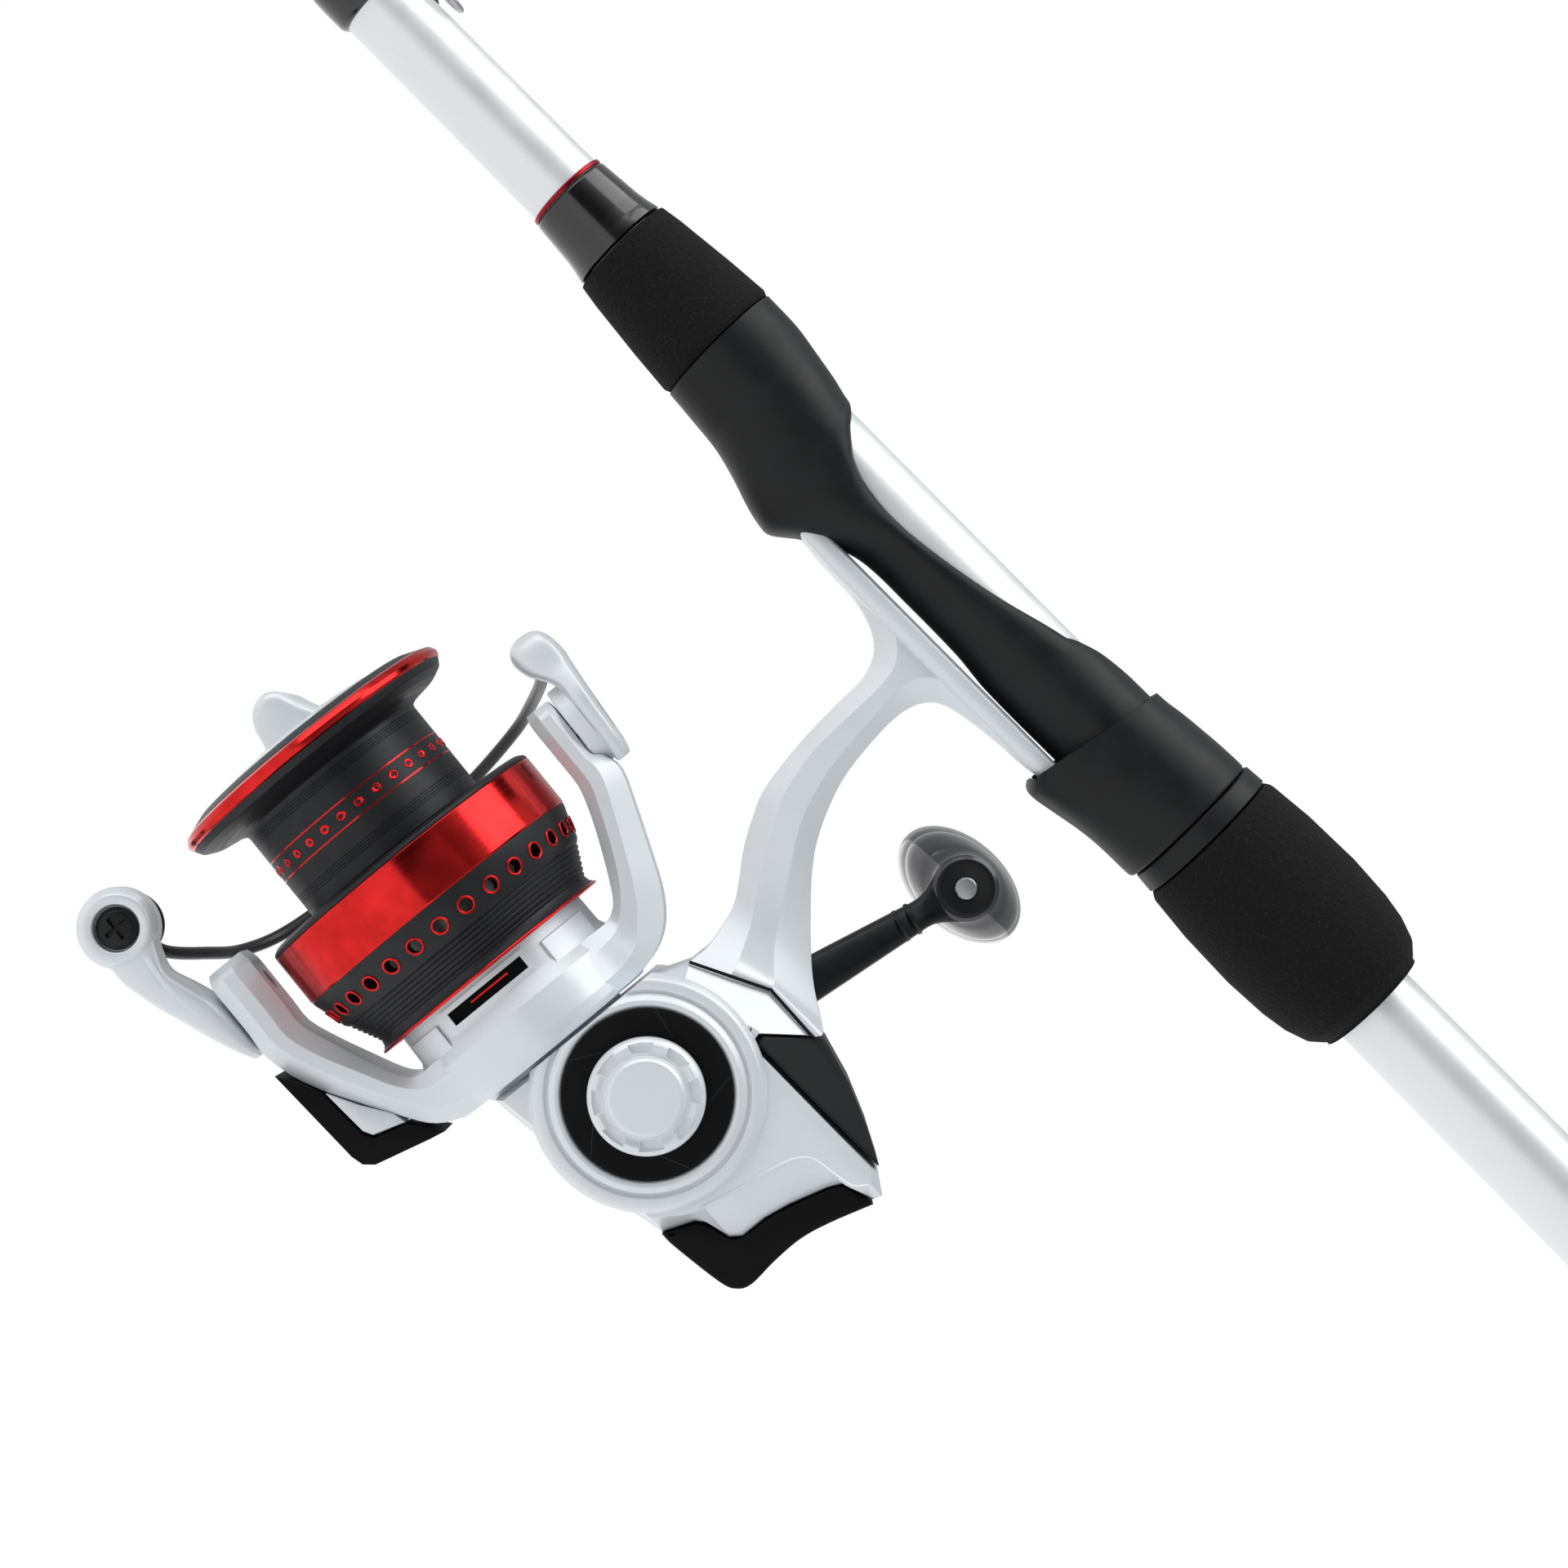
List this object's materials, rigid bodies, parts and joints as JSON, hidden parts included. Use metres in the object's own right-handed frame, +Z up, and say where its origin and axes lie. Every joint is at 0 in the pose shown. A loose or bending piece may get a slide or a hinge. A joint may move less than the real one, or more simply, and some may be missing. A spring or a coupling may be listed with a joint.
{
  "type": "fishing rod and reel",
  "caption": "Two-piece spinning rod with a fixed-spool reel: turning handle, rotor, spool and line roller, folding bail, screw-down reel seat, foam grips and line guides.",
  "frame": {"origin": "centre of the butt cap end face, on the rod axis", "axes": "+X along the rod towards the tip, +Z up, away from the reel that hangs under the rod, handle on the -Y side"},
  "size_m": [1.8278, 0.1136, 0.1445],
  "materials": {
    "pearl": "pearl white gloss",
    "windings": "black thread under clear epoxy",
    "ferrule": "satin carbon",
    "foam": "speckled matte foam",
    "butt_rubber": "matte",
    "bumper_rubber": "matte",
    "charcoal": "soft touch",
    "black_trim": "satin",
    "red_metal": "red anodised, polished",
    "black_metal": "satin black anodised",
    "arm_black": "satin black",
    "steel": "bright",
    "black_screw": "blackened",
    "brass": "machined",
    "gunmetal": "dark polished",
    "smoke": "dark smoky gloss",
    "felt": "matte felt"
  },
  "bodies": {
    "root": {"blank_butt": "pearl", "ferrule_spigot": "ferrule", "butt_cap": "butt_rubber", "butt_grip": "foam", "fore_grip": "foam", "fore_winding": "windings", "trim_band": "red_metal", "keeper_wrap": "windings", "reel_seat": "charcoal", "guide_1": "gunmetal", "reel_frame": "pearl", "side_cover": "pearl", "rear_bumper": "bumper_rubber", "rear_panel": "charcoal", "cover_screw_1": "steel", "cover_screw_2": "steel", "drive_bearing_left": "steel", "drive_bearing_right": "steel", "pinion_bearing": "steel", "roller_clutch": "steel", "bearing_cover": "black_trim"},
    "tip_section": {"blank_tip": "pearl", "guide_2": "gunmetal", "guide_3": "gunmetal", "guide_4": "gunmetal", "guide_5": "gunmetal", "tip_top": "gunmetal"},
    "rear_hood": {"sliding_hood": "charcoal"},
    "seat_nut": {"lock_ring": "black_trim", "lock_nut": "foam"},
    "hook_ring": {"keeper_ring": "steel"},
    "crank": {"drive_gear": "brass", "handle_shaft": "steel", "handle_arm": "arm_black", "knob_pin": "steel"},
    "cap": {"screw_cap": "pearl"},
    "knob": {"handle_knob": "smoke"},
    "rotor_body": {"pinion_gear": "brass", "rotor": "pearl", "rotor_nut": "steel", "arm_bumper": "bumper_rubber", "arm_cover": "pearl", "bail_spring": "steel", "pivot_screw_top": "steel", "pivot_screw_bottom": "steel"},
    "worm": {"worm_shaft": "steel", "worm_gear": "black_trim"},
    "bail": {"bail_arm": "pearl", "roller_arm": "pearl", "bail_wire": "gunmetal", "roller_screw": "black_screw"},
    "roller": {"line_roller": "gunmetal"},
    "traverse": {"slider": "black_trim", "main_shaft": "steel", "click_gear": "black_trim"},
    "spool_body": {"spool": "black_metal", "spool_skirt": "red_metal", "drag_washers": "felt"},
    "drag": {"drag_knob": "pearl"}
  },
  "joints": [
    {"name": "tip_pull", "type": "slide", "parent": "root", "child": "tip_section", "axis": [1, 0, 0], "range_m": [0, 0.08]},
    {"name": "lock_nut_turn", "type": "hinge", "parent": "rear_hood", "child": "seat_nut", "pos_m": [0.2625, 0, 0], "axis": [1, 0, 0], "range_deg": [0, 2160]},
    {"name": "hood_slide", "type": "slide", "parent": "root", "child": "rear_hood", "axis": [1, 0, 0], "range_m": [-0.009, 0]},
    {"name": "keeper_fold", "type": "hinge", "parent": "root", "child": "hook_ring", "pos_m": [0.4525, 0, 0.0079], "axis": [0, 1, 0], "range_deg": [0, 150]},
    {"name": "crank_spin", "type": "hinge", "parent": "root", "child": "crank", "pos_m": [0.31185, 0, -0.08514], "axis": [0, 1, 0], "continuous": true},
    {"name": "rotor_spin", "type": "hinge", "parent": "root", "child": "rotor_body", "pos_m": [0.32635, 0, -0.0911], "axis": [0.9952, 0, 0.0976], "continuous": true},
    {"name": "worm_spin", "type": "hinge", "parent": "root", "child": "worm", "pos_m": [0.32638, -0.0085, -0.0914], "axis": [0.9952, 0, 0.0976], "continuous": true},
    {"name": "knob_spin", "type": "hinge", "parent": "crank", "child": "knob", "pos_m": [0.29708, -0.066, -0.03029], "axis": [0, 1, 0], "continuous": true},
    {"name": "cap_turn", "type": "hinge", "parent": "crank", "child": "cap", "pos_m": [0.31185, 0.015, -0.08514], "axis": [0, 1, 0], "range_deg": [0, 1080]},
    {"name": "spool_stroke", "type": "slide", "parent": "root", "child": "traverse", "axis": [0.9952, 0, 0.0976], "range_m": [0, 0.013]},
    {"name": "spool_spin", "type": "hinge", "parent": "traverse", "child": "spool_body", "pos_m": [0.37014, 0, -0.08681], "axis": [0.9952, 0, 0.0976], "continuous": true},
    {"name": "drag_turn", "type": "hinge", "parent": "traverse", "child": "drag", "pos_m": [0.38606, 0, -0.08525], "axis": [0.9952, 0, 0.0976], "range_deg": [0, 1080]},
    {"name": "bail_swing", "type": "hinge", "parent": "rotor_body", "child": "bail", "pos_m": [0.36068, 0, -0.08773], "axis": [-0.0976, 0, 0.9952], "range_deg": [0, 115]},
    {"name": "roller_spin", "type": "hinge", "parent": "bail", "child": "roller", "pos_m": [0.3844, -0.005, -0.1246], "axis": [0, 1, 0], "continuous": true}
  ],
  "couplings": [
    {"joint": "hood_slide", "follows": "lock_nut_turn", "m_per_rad": -0.00023873},
    {"joint": "rotor_spin", "follows": "crank_spin", "ratio": -5.8333},
    {"joint": "worm_spin", "follows": "crank_spin", "ratio": 4.375}
  ]
}
